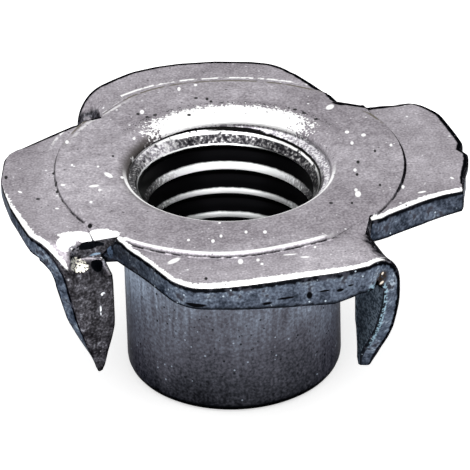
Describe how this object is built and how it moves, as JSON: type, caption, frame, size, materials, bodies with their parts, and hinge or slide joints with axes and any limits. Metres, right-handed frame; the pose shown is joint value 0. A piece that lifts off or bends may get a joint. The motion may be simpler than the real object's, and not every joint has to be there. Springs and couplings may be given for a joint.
{
  "type": "tee nut",
  "caption": "Pronged tee nut of pressed steel: pinwheel flange with bent prongs and a threaded tube that gives wood a metal thread.",
  "frame": {"origin": "on the thread axis, in the plane of the tube's open end, on which the nut stands", "axes": "+Z along the thread axis, out of the flange face; +X towards the lobe that was parted from the strip"},
  "size_m": [0.0248, 0.0242, 0.0121],
  "materials": {
    "steel": "pressed bare steel with a thin oily grey skin, bright at the worked edges"
  },
  "bodies": {
    "root": {"tee_nut": "steel"}
  },
  "joints": []
}
